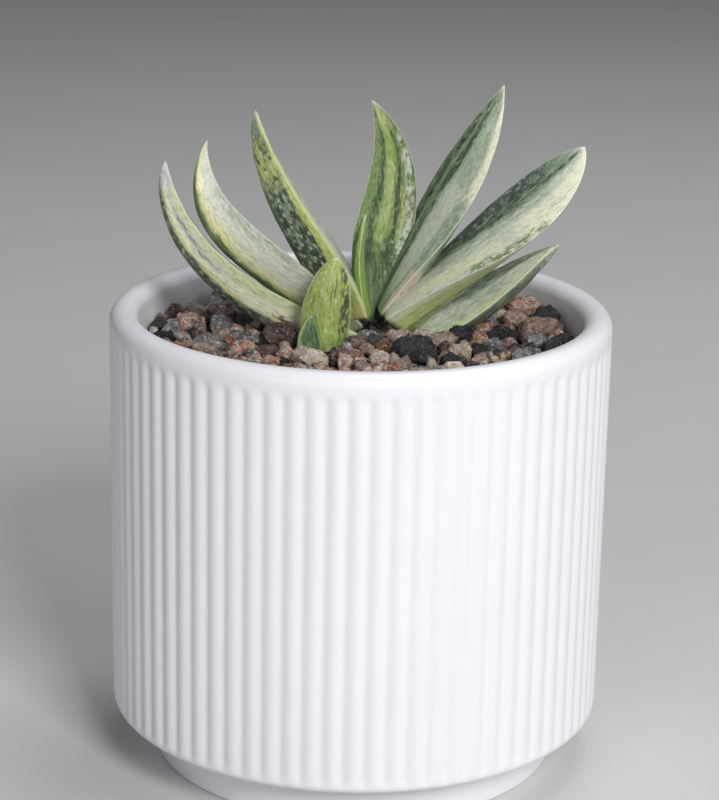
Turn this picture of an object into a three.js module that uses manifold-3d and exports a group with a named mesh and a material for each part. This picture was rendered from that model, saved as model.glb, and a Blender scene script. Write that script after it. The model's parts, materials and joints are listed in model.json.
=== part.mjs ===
// Variegated dwarf gasteria in a ribbed white ceramic pot, with loose grit on the soil.
// Millimetres, +Z up. The origin is the centre of the foot's underside. The two rows of leaves
// spread along X, the left row toward -X, and the plant is seen from -Y.

import * as THREE from "three";
import { ConvexGeometry } from "three/addons/geometries/ConvexGeometry.js";
import { mergeVertices } from "three/addons/utils/BufferGeometryUtils.js";
import Module from "manifold-3d";

const wasm = await Module();
wasm.setup();

// Driving dimensions

const gap = 0.3;

const pot = {
  radius: 60,
  height: 111.5,
  wall: 6.8,
  rimRound: 3.2,
  footRadius: 50.4,
  footTaper: 1.0,
  footHeight: 11.8,
  footRing: 5.5,
  footRecess: 10,
  lowerRound: 2.4,
  baseThickness: 7.5,
  ribs: 78,
  ribDepth: 0.5,
  ribTopClear: 4,
  ribFade: 3,
};

const soil = { top: 94, radius: pot.radius - pot.wall - gap };

const bed = {
  bottom: soil.top + gap,
  radius: soil.radius,
  edgeHeight: 99.6,
  crownHeight: 101.4,
  bump: 0.7,
};

const crown = { x: 3.5, y: 7, radius: 4.2, top: 102.8, bottom: 72 };
const offsetStem = { x: -7.5, y: -7.5, radius: 2.4, top: 104, bottom: 84 };
const stemHoleClear = 0.8;

// Each route is the four control points of the leaf's midline, from the crown to the tip.
// row is +1 for the right row and -1 for the left. turn is how far the upper face is turned from
// the front, in degrees, at the base and at the tip: 90 looks straight up the fan.
const leaves = [
  {
    name: "leaf_heart",
    row: -1,
    route: [[2.2, 6, 107], [-0.5, 6, 116], [-0.4, 6, 124], [0.6, 6, 132.2]],
    halfWidth: 3.2, depth: 3, turn: [80, 75], baseShare: 0.8, fullness: 2.3, taper: 0.85,
    camber: -0.1, keel: 0, color: 0x6f8f3f,
  },
  {
    name: "leaf_centre",
    row: -1,
    route: [[6, 11, 105.5], [-1, 14, 126], [14.4, 14, 137], [1.6, 11, 159.2]],
    halfWidth: 7.6, depth: 4, turn: [10, -6], baseShare: 0.68, fullness: 3.2, taper: 0.85,
    camber: -0.15, keel: 0, color: 0x5f7d48,
  },
  {
    name: "leaf_left_inner",
    row: -1,
    route: [[1.5, 5, 108.7], [-5.4, 1, 127.8], [-17.3, 0, 136.2], [-25.6, 2, 157.7]],
    halfWidth: 6.3, depth: 9.7, turn: [88, 92], baseShare: 0.84, fullness: 3.5, taper: 0.79,
    camber: -0.05, keel: 0, color: 0x6b8560,
  },
  {
    name: "leaf_right_inner",
    row: 1,
    route: [[3.9, 9, 107.6], [15, 9, 128.8], [25.7, 10, 142.3], [32.8, 10, 163.4]],
    halfWidth: 8.2, depth: 6.8, turn: [84, 12], baseShare: 0.56, fullness: 2.9, taper: 0.88,
    camber: 0.05, keel: 0, color: 0x93a58b,
  },
  {
    name: "leaf_left_middle",
    row: -1,
    route: [[0.9, 7.5, 105.5], [-17.6, 5, 127.3], [-41.3, 8, 125], [-37.6, 12, 148.5]],
    halfWidth: 8.1, depth: 9.2, turn: [90, 149], baseShare: 0.76, fullness: 3.4, taper: 1.34,
    camber: -0.05, keel: 0, color: 0xd9d9b4,
  },
  {
    name: "leaf_right_middle",
    row: 1,
    route: [[5.5, 6, 108.1], [26.8, 3, 127.5], [39.1, 3, 131.4], [52, 4, 150.1]],
    halfWidth: 9.1, depth: 8.3, turn: [91, 26], baseShare: 0.71, fullness: 4.4, taper: 0.7,
    camber: 0.08, keel: 0, color: 0xa9b59c,
  },
  {
    name: "leaf_left_outer",
    row: -1,
    route: [[0, 5, 102.7], [-25.5, 0, 115.5], [-40.9, -4, 125.1], [-46.3, -4, 146.4]],
    halfWidth: 5.6, depth: 8.5, turn: [107, 97], baseShare: 0.83, fullness: 4.3, taper: 1.03,
    camber: -0.1, keel: 0, color: 0xcfd3a8,
  },
  {
    name: "leaf_right_outer",
    row: 1,
    route: [[9.9, 7, 103.3], [27.1, 7, 108.6], [36.3, 9, 120.2], [47.5, 12, 124.5]],
    halfWidth: 6.5, depth: 7.6, turn: [57, 74], baseShare: 0.92, fullness: 3.2, taper: 1.15,
    camber: 0, keel: 0, color: 0xa8b49a,
  },
  {
    name: "offset_leaf_front",
    row: -1,
    route: [[-7.9, -8, 103.2], [-9.5, -9, 109.6], [-7.4, -9, 117], [-6.1, -8, 124.9]],
    halfWidth: 6.3, depth: 3.5, turn: [190, 190], baseShare: 0.8, fullness: 3.1, taper: 0.58,
    camber: -0.1, keel: -0.2, color: 0x9fb861,
  },
  {
    name: "offset_leaf_small",
    row: -1,
    route: [[-11.8, -12.4, 102.2], [-12.4, -13.2, 106], [-12.4, -13.2, 109], [-11.6, -12.8, 111.9]],
    halfWidth: 3, depth: 2, turn: [190, 190], baseShare: 0.9, fullness: 2, taper: 0.7,
    camber: -0.1, keel: -0.2, color: 0x5c7f4a,
  },
];

const leafStations = 13;
const upperSteps = 4;
const lowerSteps = 6;
const keelSharpness = 1.5;
const depthLoss = 0.15;
const tipDepthPower = 0.7;
const leastHalf = 0.25;

// Thick roots: the end point of each, from the stem's foot.
const roots = [
  { end: [-26, 4, 52], sag: 8 },
  { end: [-10, -24, 40], sag: 6 },
  { end: [24, -14, 48], sag: 7 },
  { end: [30, 18, 58], sag: 9 },
  { end: [2, 32, 44], sag: 7 },
  { end: [5, 3, 30], sag: 0 },
];
const root = { startZ: 78, startRadius: 1.9, endRadius: 0.7, sides: 6, steps: 6 };

// Loose stones that lie on the grit: place on the bed, then length, width and height.
const stones = [
  { name: "stone_maroon_scoria", at: [-19.5, -5.4], size: [11, 8.6, 7.4], color: 0x4a3431 },
  { name: "stone_orange_knobbly", at: [-42.2, 9.5], size: [8.5, 7.5, 6], color: 0xa9683f },
  { name: "stone_pale_grey", at: [-33.5, 7.6], size: [7.2, 6, 5], color: 0x9c9d9f },
  { name: "stone_long_grey", at: [-28.4, -1.6], size: [9, 4.6, 4], color: 0x77716d },
  { name: "stone_lavender", at: [-37.4, -3.2], size: [7.5, 6, 4.8], color: 0x7b6d70 },
  { name: "stone_tan_pink", at: [-36.8, -12], size: [7, 7, 4.6], color: 0x9a7a66 },
  { name: "stone_orange_brown", at: [-44.6, -8.6], size: [7.4, 6, 4.8], color: 0x8f5a3c },
  { name: "stone_dark_left", at: [-47.4, 1], size: [5.2, 5, 4.4], color: 0x3a3a40 },
  { name: "stone_orange_front", at: [-27.6, -12.4], size: [7.2, 6, 5], color: 0xa5663c },
  { name: "stone_white_chip", at: [-21, -19.6], size: [3.4, 3, 2.6], color: 0xc9c6be },
  { name: "stone_cream_tan", at: [-12.6, -19.2], size: [8, 6, 5.2], color: 0xb79b7d },
  { name: "stone_brown_inner", at: [-0.8, -9.6], size: [6, 5, 4.8], color: 0x6b4a3a },
  { name: "stone_brown_front", at: [-4.8, -17.4], size: [5.8, 5.6, 4.6], color: 0x6d564c },
  { name: "stone_bluish_grey", at: [1.9, -2.6], size: [5.6, 4.6, 4], color: 0x6d7078 },
  { name: "stone_brown_tan", at: [8.6, -4.2], size: [6.8, 5.4, 4.6], color: 0x7c6455 },
  { name: "stone_pale_cream", at: [4.4, -21], size: [5.4, 4.6, 4.8], color: 0xb9a58c },
  { name: "stone_black_lava", at: [12.4, -17.6], size: [12, 9, 7.4], color: 0x1f1e20 },
  { name: "stone_pink_flat", at: [18.6, -5.4], size: [9, 7, 4.4], color: 0x8f7064 },
  { name: "stone_dark_grey", at: [24.6, -0.4], size: [7.4, 5.6, 5], color: 0x4a4b52 },
  { name: "stone_white_sliver", at: [14.6, -0.4], size: [4.6, 2.6, 4], color: 0xc4bfae },
  { name: "stone_grey_white", at: [23.4, -12.6], size: [6.6, 5.4, 4.6], color: 0x8f8a86 },
  { name: "stone_striped_grey", at: [31.4, -7.4], size: [5.6, 5, 4.4], color: 0x75757a },
  { name: "stone_long_dark", at: [33.6, 0.8], size: [9.4, 4.6, 4.4], color: 0x3d4046 },
  { name: "stone_tan_brown", at: [37.6, 14], size: [7, 6, 5], color: 0x7a6252 },
  { name: "stone_large_tan", at: [43, 6.6], size: [10.5, 8.5, 5.6], color: 0x9a7f6e },
  { name: "stone_orange_back", at: [40.6, 24.6], size: [9, 6.6, 5.6], color: 0xb06a3a },
  { name: "stone_black_round", at: [33, 33], size: [7, 6.4, 5.4], color: 0x26252a },
  { name: "stone_dark_pitted", at: [45.2, 15.2], size: [7.8, 7, 6.2], color: 0x33333a },
  { name: "stone_greenish_dark", at: [48.8, -3.4], size: [6.2, 5.6, 5], color: 0x474d44 },
  { name: "stone_olive_grey", at: [42.4, -4.6], size: [5.8, 5.4, 4.6], color: 0x6c6b58 },
  { name: "stone_pale_green", at: [40.4, -13.6], size: [6.4, 5, 4.4], color: 0x90968a },
  { name: "stone_small_orange", at: [33.4, -15], size: [4.6, 4, 3.4], color: 0xa86a45 },
  { name: "stone_rust_back", at: [20.6, 40.4], size: [7, 6, 5], color: 0x84492f },
  { name: "stone_grey_back", at: [-14, 38], size: [8, 6, 5], color: 0x5a5a5e },
  { name: "stone_tan_back", at: [-32, 27], size: [7.4, 6.4, 5], color: 0x8a7464 },
  { name: "stone_tan_near", at: [14, -33], size: [8, 6, 5], color: 0x9c836c },
  { name: "stone_rust_near", at: [-10, -36], size: [7.6, 6, 5], color: 0x8c4f33 },
  { name: "stone_grey_near", at: [-30, -29], size: [7, 6, 4.8], color: 0x68686c },
];
const stoneCorners = 16;
const stoneRoughness = 0.3;
const stoneTilt = 0.3;
const stoneTurn = 0.7;

// Helpers

function makeRandom(seed) {
  let state = seed >>> 0;
  return () => {
    state = (Math.imul(state, 1664525) + 1013904223) >>> 0;
    return state / 4294967296;
  };
}

const fade = (value, from, to) => THREE.MathUtils.smoothstep(value, from, to);

function bareGeometry(geometry) {
  const bare = geometry.clone();
  for (const name of Object.keys(bare.attributes)) {
    if (name !== "position") bare.deleteAttribute(name);
  }
  return mergeVertices(bare, 1e-4);
}

function toSolid(geometry) {
  const bare = bareGeometry(geometry);
  return new wasm.Manifold(new wasm.Mesh({
    numProp: 3,
    vertProperties: new Float32Array(bare.attributes.position.array),
    triVerts: new Uint32Array(bare.index.array),
  }));
}

function toGeometry(solid) {
  const mesh = solid.getMesh();
  const geometry = new THREE.BufferGeometry();
  geometry.setAttribute("position", new THREE.BufferAttribute(mesh.vertProperties, 3));
  geometry.setIndex(new THREE.BufferAttribute(mesh.triVerts, 1));
  geometry.computeVertexNormals();
  return geometry;
}

// A cut can leave a crumb on the far side of the neighbour; the piece itself is the largest body.
function largestBody(solid) {
  return solid.decompose().sort((a, b) => b.volume() - a.volume())[0];
}

// A closed skin over rings of points, from a flat first ring to a last point.
function skinOverRings(rings, endPoint) {
  const sides = rings[0].length;
  const points = rings.flat();
  const middle = new THREE.Vector3();
  rings[0].forEach((point) => middle.addScaledVector(point, 1 / sides));
  const startIndex = points.push(middle) - 1;
  const endIndex = points.push(endPoint) - 1;
  const last = (rings.length - 1) * sides;
  const index = [];
  for (let side = 0; side < sides; side += 1) {
    const next = (side + 1) % sides;
    index.push(startIndex, next, side);
    index.push(endIndex, last + side, last + next);
    for (let ring = 0; ring < rings.length - 1; ring += 1) {
      const low = ring * sides;
      const high = low + sides;
      index.push(low + side, low + next, high + next);
      index.push(low + side, high + next, high + side);
    }
  }
  const geometry = new THREE.BufferGeometry().setFromPoints(points);
  geometry.setIndex(index);
  geometry.computeVertexNormals();
  return geometry;
}

function latheUpright(outline, segments) {
  const points = outline.map(([radius, height]) => new THREE.Vector2(radius, height));
  return new THREE.LatheGeometry(points, segments).rotateX(Math.PI / 2);
}

function uprightCylinder(x, y, radius, bottom, top, sides) {
  return new THREE.CylinderGeometry(radius, radius, top - bottom, sides)
    .rotateX(Math.PI / 2)
    .translate(x, y, (top + bottom) / 2);
}

function place(name, geometry, color, roughness) {
  const mesh = new THREE.Mesh(
    geometry,
    new THREE.MeshStandardMaterial({ color, roughness, metalness: 0 }),
  );
  mesh.name = name;
  return mesh;
}

// Pot

function potOutline() {
  const inner = pot.radius - pot.wall;
  const rimCentre = pot.height - pot.rimRound;
  const ringInner = pot.footRadius - pot.footTaper - pot.footRing;
  const low = pot.footHeight + pot.lowerRound;
  const outline = [
    [0, pot.footRecess],
    [ringInner, pot.footRecess],
    [ringInner, 0],
    [pot.footRadius - pot.footTaper - 0.6, 0],
    [pot.footRadius - pot.footTaper, 0.6],
    [pot.footRadius, pot.footHeight],
    [pot.radius - pot.lowerRound, pot.footHeight],
    [pot.radius - pot.lowerRound * 0.3, pot.footHeight + pot.lowerRound * 0.3],
    [pot.radius, low],
    [pot.radius, low + pot.ribFade],
    [pot.radius, pot.height - pot.ribTopClear - pot.ribFade],
    [pot.radius, pot.height - pot.ribTopClear],
  ];
  const roundSteps = 4;
  for (let step = 0; step <= roundSteps; step += 1) {
    const angle = (step / roundSteps) * (Math.PI / 2);
    outline.push([
      pot.radius - pot.rimRound * (1 - Math.cos(angle)),
      rimCentre + pot.rimRound * Math.sin(angle),
    ]);
  }
  for (let step = 1; step <= 2; step += 1) {
    const angle = (step / 2) * (Math.PI / 2);
    outline.push([
      inner + pot.rimRound * (1 - Math.sin(angle)),
      rimCentre + pot.rimRound * Math.cos(angle),
    ]);
  }
  outline.push([inner, pot.footRecess + pot.baseThickness]);
  outline.push([0, pot.footRecess + pot.baseThickness]);
  return outline;
}

// Two facets to each rib: a crest and a valley, run out smoothly above and below.
function makePot() {
  const geometry = latheUpright(potOutline(), pot.ribs * 2);
  const position = geometry.attributes.position;
  const low = pot.footHeight + pot.lowerRound;
  const high = pot.height - pot.ribTopClear;
  for (let i = 0; i < position.count; i += 1) {
    const x = position.getX(i);
    const y = position.getY(i);
    const z = position.getZ(i);
    const radius = Math.hypot(x, y);
    if (radius < pot.radius - 0.01) continue;
    const strength = fade(z, low, low + pot.ribFade) * (1 - fade(z, high - pot.ribFade, high));
    const valley = (1 - Math.cos(pot.ribs * Math.atan2(y, x))) / 2;
    const scale = 1 - (pot.ribDepth * strength * valley) / radius;
    position.setXY(i, x * scale, y * scale);
  }
  return place("pot", toGeometry(toSolid(geometry)), 0xe9eaee, 0.45);
}

// Stem and roots

function rootRoute(spec) {
  const start = new THREE.Vector3(crown.x, crown.y, root.startZ);
  const end = new THREE.Vector3(...spec.end);
  const middle = start.clone().lerp(end, 0.5);
  middle.z += spec.sag;
  return new THREE.QuadraticBezierCurve3(start, middle, end);
}

function rootGeometry(spec, grow) {
  const route = rootRoute(spec);
  const up = new THREE.Vector3(0.3, 0.2, 1).normalize();
  const rings = [];
  for (let step = 0; step < root.steps; step += 1) {
    const share = step / root.steps;
    const centre = route.getPoint(share);
    const along = route.getTangent(share);
    const side = new THREE.Vector3(1, 0.4, 0).cross(along).normalize();
    const other = along.clone().cross(side).normalize();
    const radius = THREE.MathUtils.lerp(root.startRadius, root.endRadius, share) + grow;
    const ring = [];
    for (let k = 0; k < root.sides; k += 1) {
      const angle = (k / root.sides) * Math.PI * 2;
      ring.push(centre.clone()
        .addScaledVector(side, Math.cos(angle) * radius)
        .addScaledVector(other, Math.sin(angle) * radius));
    }
    rings.push(ring);
  }
  const tip = route.getPoint(1).addScaledVector(route.getTangent(1), grow);
  return skinOverRings(rings, tip);
}

// The short stem, the stub of the offset beside it, the runner between them, and the roots.
function stemSolid(grow) {
  const stem = toSolid(uprightCylinder(
    crown.x, crown.y, crown.radius + grow, crown.bottom - grow, crown.top + grow, 14));
  const stub = toSolid(uprightCylinder(offsetStem.x, offsetStem.y,
    offsetStem.radius + grow, offsetStem.bottom - grow, offsetStem.top + grow, 10));
  const from = new THREE.Vector3(crown.x, crown.y, offsetStem.bottom + 3);
  const to = new THREE.Vector3(offsetStem.x, offsetStem.y, offsetStem.bottom + 3);
  const runner = toSolid(new THREE.CylinderGeometry(
    offsetStem.radius * 0.7 + grow, offsetStem.radius * 0.7 + grow, from.distanceTo(to), 8)
    .applyQuaternion(new THREE.Quaternion().setFromUnitVectors(
      new THREE.Vector3(0, 1, 0), to.clone().sub(from).normalize()))
    .translate(...from.clone().add(to).multiplyScalar(0.5)));
  return roots.reduce(
    (joined, spec) => joined.add(toSolid(rootGeometry(spec, grow))),
    stem.add(stub).add(runner));
}

// Leaves

function leafHalfWidth(leaf, share) {
  const swell = leaf.baseShare + (1 - leaf.baseShare) * Math.sin(Math.min(1, share / 0.5) * Math.PI / 2);
  const narrowing = (1 - share ** leaf.fullness) ** leaf.taper;
  return Math.max(leastHalf, leaf.halfWidth * swell * narrowing);
}

function leafDepth(leaf, share) {
  const narrowing = (1 - share ** leaf.fullness) ** tipDepthPower;
  return Math.max(leastHalf, leaf.depth * (1 - depthLoss * share) * narrowing);
}

// One cross-section: a nearly flat upper face, and two flanks that meet in a keel below it.
// A grown leaf, which is only cut away from its neighbours, has its hollow face filled.
function leafRing(leaf, route, share, grow) {
  const along = route.getTangent(share);
  const centre = route.getPoint(share);
  if (share === 0) centre.addScaledVector(along, -grow);
  const front = new THREE.Vector3(0, -1, 0);
  front.addScaledVector(along, -front.dot(along)).normalize();
  const inward = front.clone().cross(along).multiplyScalar(leaf.row);
  const turn = THREE.MathUtils.degToRad(THREE.MathUtils.lerp(leaf.turn[0], leaf.turn[1], share));
  const upper = front.clone().multiplyScalar(Math.cos(turn)).addScaledVector(inward, Math.sin(turn));
  const across = front.clone().multiplyScalar(Math.sin(turn)).addScaledVector(inward, -Math.cos(turn));
  const half = leafHalfWidth(leaf, share) + grow;
  const depth = leafDepth(leaf, share) + grow;
  const camber = grow > 0 ? Math.max(0, leaf.camber) : leaf.camber;
  const ring = [];
  for (let step = 0; step < upperSteps; step += 1) {
    const s = 1 - (2 * step) / upperSteps;
    ring.push([s, (camber * half + grow) * (1 - s * s)]);
  }
  for (let step = 0; step < lowerSteps; step += 1) {
    const s = -1 + (2 * step) / lowerSteps;
    const reach = s > leaf.keel ? 1 - leaf.keel : 1 + leaf.keel;
    const q = Math.abs(s - leaf.keel) / reach;
    ring.push([s, -depth * (1 - q ** keelSharpness)]);
  }
  const points = ring.map(([s, height]) => centre.clone()
    .addScaledVector(across, s * half)
    .addScaledVector(upper, height));
  return leaf.row > 0 ? points.reverse() : points;
}

function leafGeometry(leaf, grow) {
  const route = new THREE.CubicBezierCurve3(...leaf.route.map((p) => new THREE.Vector3(...p)));
  const rings = [];
  for (let station = 0; station < leafStations; station += 1) {
    rings.push(leafRing(leaf, route, station / leafStations, grow));
  }
  const tip = route.getPoint(1).addScaledVector(route.getTangent(1), grow * 2);
  return skinOverRings(rings, tip);
}

// Inner leaves are whole; each outer leaf clasps those inside it and is cut back to a clearance.
function makeLeaves(stem) {
  const placed = [];
  let taken = stem;
  for (const leaf of leaves) {
    const solid = largestBody(toSolid(leafGeometry(leaf, 0)).subtract(taken));
    placed.push(place(leaf.name, toGeometry(solid), leaf.color, 0.4));
    taken = taken.add(toSolid(leafGeometry(leaf, gap)));
  }
  return { placed, taken };
}

// Grit and stones

function bedHeight(x, y) {
  const away = Math.hypot(x - crown.x, y - crown.y) / bed.radius;
  const mound = THREE.MathUtils.lerp(bed.crownHeight, bed.edgeHeight, Math.min(1, away * away));
  const rise = 0.02 * (x + y);
  const bumps = Math.sin(x * 1.1) * Math.cos(y * 0.9) + Math.sin(x * 0.7 - y * 1.3);
  return mound + rise + bed.bump * 0.5 * bumps;
}

function makeGravelBed(holes) {
  const rows = 11;
  const outline = [[0, bed.bottom]];
  for (let row = 0; row <= rows; row += 1) {
    outline.push([bed.radius * (1 - row / rows), bed.crownHeight]);
  }
  const geometry = latheUpright(outline.map(([r, z]) => [Math.max(0, r), z]), 40);
  const position = geometry.attributes.position;
  for (let i = 0; i < position.count; i += 1) {
    if (position.getZ(i) < bed.crownHeight - 0.01) continue;
    position.setZ(i, bedHeight(position.getX(i), position.getY(i)));
  }
  const solid = holes.reduce((left, hole) => left.subtract(hole), toSolid(geometry));
  return place("gravel_bed", toGeometry(largestBody(solid)), 0x5d5049, 0.95);
}

function stoneGeometry(stone, seed) {
  const random = makeRandom(seed);
  const [length, width, height] = stone.size;
  const points = [];
  for (let corner = 0; corner < stoneCorners; corner += 1) {
    const level = 1 - (2 * (corner + 0.5)) / stoneCorners;
    const angle = corner * Math.PI * (3 - Math.sqrt(5)) + random() * 0.6;
    const reach = 1 - stoneRoughness * random();
    const around = Math.sqrt(1 - level * level);
    points.push(new THREE.Vector3(
      Math.cos(angle) * around * reach,
      Math.sin(angle) * around * reach,
      level * reach));
  }
  const rough = new ConvexGeometry(points).center();
  rough.computeBoundingBox();
  const extent = rough.boundingBox.getSize(new THREE.Vector3());
  const geometry = rough
    .scale(length / extent.x, width / extent.y, height / extent.z)
    .rotateX((random() - 0.5) * stoneTilt)
    .rotateY((random() - 0.5) * stoneTilt)
    .rotateZ((random() - 0.5) * stoneTurn);
  geometry.computeBoundingBox();
  return geometry;
}

// The highest point of the bed under a stone, which the stone rests just above.
function restingHeight(x, y, reach) {
  let highest = -Infinity;
  for (let ring = 0; ring <= 2; ring += 1) {
    for (let k = 0; k < 8; k += 1) {
      const angle = (k / 8) * Math.PI * 2;
      const distance = (reach * ring) / 2;
      highest = Math.max(
        highest, bedHeight(x + Math.cos(angle) * distance, y + Math.sin(angle) * distance));
    }
  }
  return highest;
}

function makeStones(taken) {
  return stones.map((stone, number) => {
    const geometry = stoneGeometry(stone, 101 + number * 37);
    const [x, y] = stone.at;
    const lift = restingHeight(x, y, Math.max(stone.size[0], stone.size[1]) * 0.4)
      + gap - geometry.boundingBox.min.z;
    const solid = largestBody(toSolid(geometry.translate(x, y, lift)).subtract(taken));
    return place(stone.name, toGeometry(solid), stone.color, 0.95);
  });
}

// Assembly

const group = new THREE.Group();
const clearedStem = stemSolid(gap);

group.add(makePot());

const soilBlock = latheUpright([
  [0, pot.footRecess + pot.baseThickness + gap],
  [soil.radius, pot.footRecess + pot.baseThickness + gap],
  [soil.radius, soil.top],
  [0, soil.top],
], 40);
group.add(place("potting_soil",
  toGeometry(largestBody(toSolid(soilBlock).subtract(clearedStem))), 0x2e2620, 1));

group.add(place("stem_and_roots", toGeometry(stemSolid(0)), 0xa99a77, 0.8));

const { placed, taken } = makeLeaves(clearedStem);
placed.forEach((mesh) => group.add(mesh));

const stemHoles = [crown, offsetStem].map((stem) => toSolid(uprightCylinder(
  stem.x, stem.y, stem.radius + stemHoleClear, bed.bottom - 1, bed.crownHeight + 6, 16)));
group.add(makeGravelBed([...stemHoles, taken]));

makeStones(taken).forEach((mesh) => group.add(mesh));

export default group;
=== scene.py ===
import json
import math
import random

import bmesh
import bpy
from mathutils import Euler, Matrix, Vector, noise


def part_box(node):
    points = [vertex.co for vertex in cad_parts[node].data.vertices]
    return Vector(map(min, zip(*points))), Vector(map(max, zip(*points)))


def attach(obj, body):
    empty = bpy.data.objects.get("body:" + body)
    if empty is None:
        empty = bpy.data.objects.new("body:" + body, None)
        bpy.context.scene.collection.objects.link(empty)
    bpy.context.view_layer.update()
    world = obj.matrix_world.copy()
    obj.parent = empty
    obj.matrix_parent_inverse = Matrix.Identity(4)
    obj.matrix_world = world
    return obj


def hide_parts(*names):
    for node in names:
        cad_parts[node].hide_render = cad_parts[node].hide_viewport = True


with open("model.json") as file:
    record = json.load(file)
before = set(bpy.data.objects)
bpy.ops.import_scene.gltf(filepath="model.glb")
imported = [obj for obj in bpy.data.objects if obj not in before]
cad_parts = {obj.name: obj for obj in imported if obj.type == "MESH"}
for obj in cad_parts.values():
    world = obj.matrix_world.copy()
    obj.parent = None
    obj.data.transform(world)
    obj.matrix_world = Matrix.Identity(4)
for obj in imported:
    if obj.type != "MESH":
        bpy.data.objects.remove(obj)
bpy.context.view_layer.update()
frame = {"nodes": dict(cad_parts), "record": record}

mm = 0.001
collection = bpy.context.scene.collection


# Small helpers for meshes

def finishPiece(form, name, material, smooth=True):
    # the finished piece sits at the origin, with its place in its mesh
    mesh = bpy.data.meshes.new(name)
    form.to_mesh(mesh)
    form.free()
    for face in mesh.polygons:
        face.use_smooth = smooth
    mesh.materials.append(material)
    piece = bpy.data.objects.new(name, mesh)
    collection.objects.link(piece)
    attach(piece, "root")
    return piece


def addSubdivision(piece, levels=1):
    modifier = piece.modifiers.new("smooth", "SUBSURF")
    modifier.levels = levels
    modifier.render_levels = levels


# Small helpers for materials

def paint(red, green, blue):
    # a colour as the eye reads it, turned to the shader's linear values
    return tuple(((c + 0.055) / 1.055) ** 2.4 for c in (red, green, blue)) + (1,)


def feed(tree, socket, value):
    if isinstance(value, bpy.types.NodeSocket):
        tree.links.new(value, socket)
    else:
        socket.default_value = value


def calc(tree, operation, *values):
    node = tree.nodes.new("ShaderNodeMath")
    node.operation = operation
    for socket, value in zip(node.inputs, values):
        feed(tree, socket, value)
    return node.outputs[0]


def fade(tree, value, start, end):
    node = tree.nodes.new("ShaderNodeMapRange")
    node.interpolation_type = "SMOOTHSTEP"
    for socket, amount in zip(node.inputs, (value, start, end, 0.0, 1.0)):
        feed(tree, socket, amount)
    return node.outputs[0]


def band(tree, value, low, high, soft):
    rising = fade(tree, value, low - soft, low + soft)
    falling = fade(tree, value, high + soft, high - soft)
    return calc(tree, "MULTIPLY", rising, falling)


def blend(tree, share, under, over):
    node = tree.nodes.new("ShaderNodeMix")
    node.data_type = "RGBA"
    feed(tree, node.inputs[0], share)
    feed(tree, node.inputs[6], under)
    feed(tree, node.inputs[7], over)
    return node.outputs[2]


def stretch(tree, vector, scale, shift=(0, 0, 0)):
    node = tree.nodes.new("ShaderNodeMapping")
    feed(tree, node.inputs["Vector"], vector)
    node.inputs["Location"].default_value = shift
    node.inputs["Scale"].default_value = scale
    return node.outputs[0]


def grain(tree, vector, scale=1.0, detail=3.0, rough=0.55):
    node = tree.nodes.new("ShaderNodeTexNoise")
    feed(tree, node.inputs["Vector"], vector)
    node.inputs["Scale"].default_value = scale
    node.inputs["Detail"].default_value = detail
    node.inputs["Roughness"].default_value = rough
    return node.outputs[0]


def cells(tree, vector, scale=1.0):
    node = tree.nodes.new("ShaderNodeTexVoronoi")
    feed(tree, node.inputs["Vector"], vector)
    node.inputs["Scale"].default_value = scale
    return node.outputs["Distance"]


def lift(tree, height, distance, strength=1.0, under=None):
    # a bump of the given depth in metres, laid over another if there is one
    node = tree.nodes.new("ShaderNodeBump")
    node.inputs["Strength"].default_value = strength
    node.inputs["Distance"].default_value = distance
    feed(tree, node.inputs["Height"], height)
    if under is not None:
        feed(tree, node.inputs["Normal"], under)
    return node.outputs[0]


def attribute(tree, name, output="Vector"):
    node = tree.nodes.new("ShaderNodeAttribute")
    node.attribute_name = name
    return node.outputs[output]


def splitVector(tree, vector):
    node = tree.nodes.new("ShaderNodeSeparateXYZ")
    feed(tree, node.inputs[0], vector)
    return node.outputs


def objectPlace(tree, scale=1000.0):
    # the piece's own place, in millimetres
    node = tree.nodes.new("ShaderNodeTexCoord")
    return stretch(tree, node.outputs["Object"], (scale, scale, scale))


def newMaterial(name, roughness):
    material = bpy.data.materials.new(name)
    material.use_nodes = True
    tree = material.node_tree
    shader = tree.nodes["Principled BSDF"]
    shader.inputs["Roughness"].default_value = roughness
    return material, tree, shader


# Camera, lights and floor

camera = {
    "distance": 0.5878, "elevation": 16.97, "roll": 0.0193,
    "aimHeight": 0.0879, "lens": 109.3,
}

lights = [
    {"name": "key", "at": (0.50, -1.15, 0.85), "size": 0.45, "power": 15.5, "colour": (1.0, 0.99, 0.98)},
    {"name": "left", "at": (-0.60, -1.15, 0.60), "size": 0.7, "power": 3.0, "colour": (0.96, 0.97, 1.0)},
    {"name": "right", "at": (1.25, -0.45, 0.65), "size": 0.6, "power": 3.4, "colour": (0.98, 0.98, 1.0)},
    {"name": "top", "at": (0.25, 0.35, 1.20), "size": 0.6, "power": 4.6, "colour": (1.0, 1.0, 1.0)},
]


studio = {
    "aimHeight": 0.09, "worldColour": (0.8, 0.83, 0.88, 1), "worldStrength": 0.12,
    "floorHalf": 3.0, "floorDark": (0.60, 0.60, 0.60, 1), "floorLight": (0.64, 0.64, 0.63, 1),
}


def makeCamera():
    data = bpy.data.cameras.new("camera")
    data.lens = camera["lens"]
    data.sensor_width = 36
    data.clip_start = 0.01
    piece = bpy.data.objects.new("camera", data)
    tilt = math.radians(camera["elevation"])
    back = Vector((0, -math.cos(tilt), math.sin(tilt)))
    turn = Euler((math.pi / 2 - tilt, 0, 0)).to_matrix() @ Matrix.Rotation(camera["roll"], 3, "Z")
    aim = Vector((0, 0, camera["aimHeight"]))
    piece.matrix_world = Matrix.Translation(aim + back * camera["distance"]) @ turn.to_4x4()
    collection.objects.link(piece)
    bpy.context.scene.camera = piece


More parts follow.
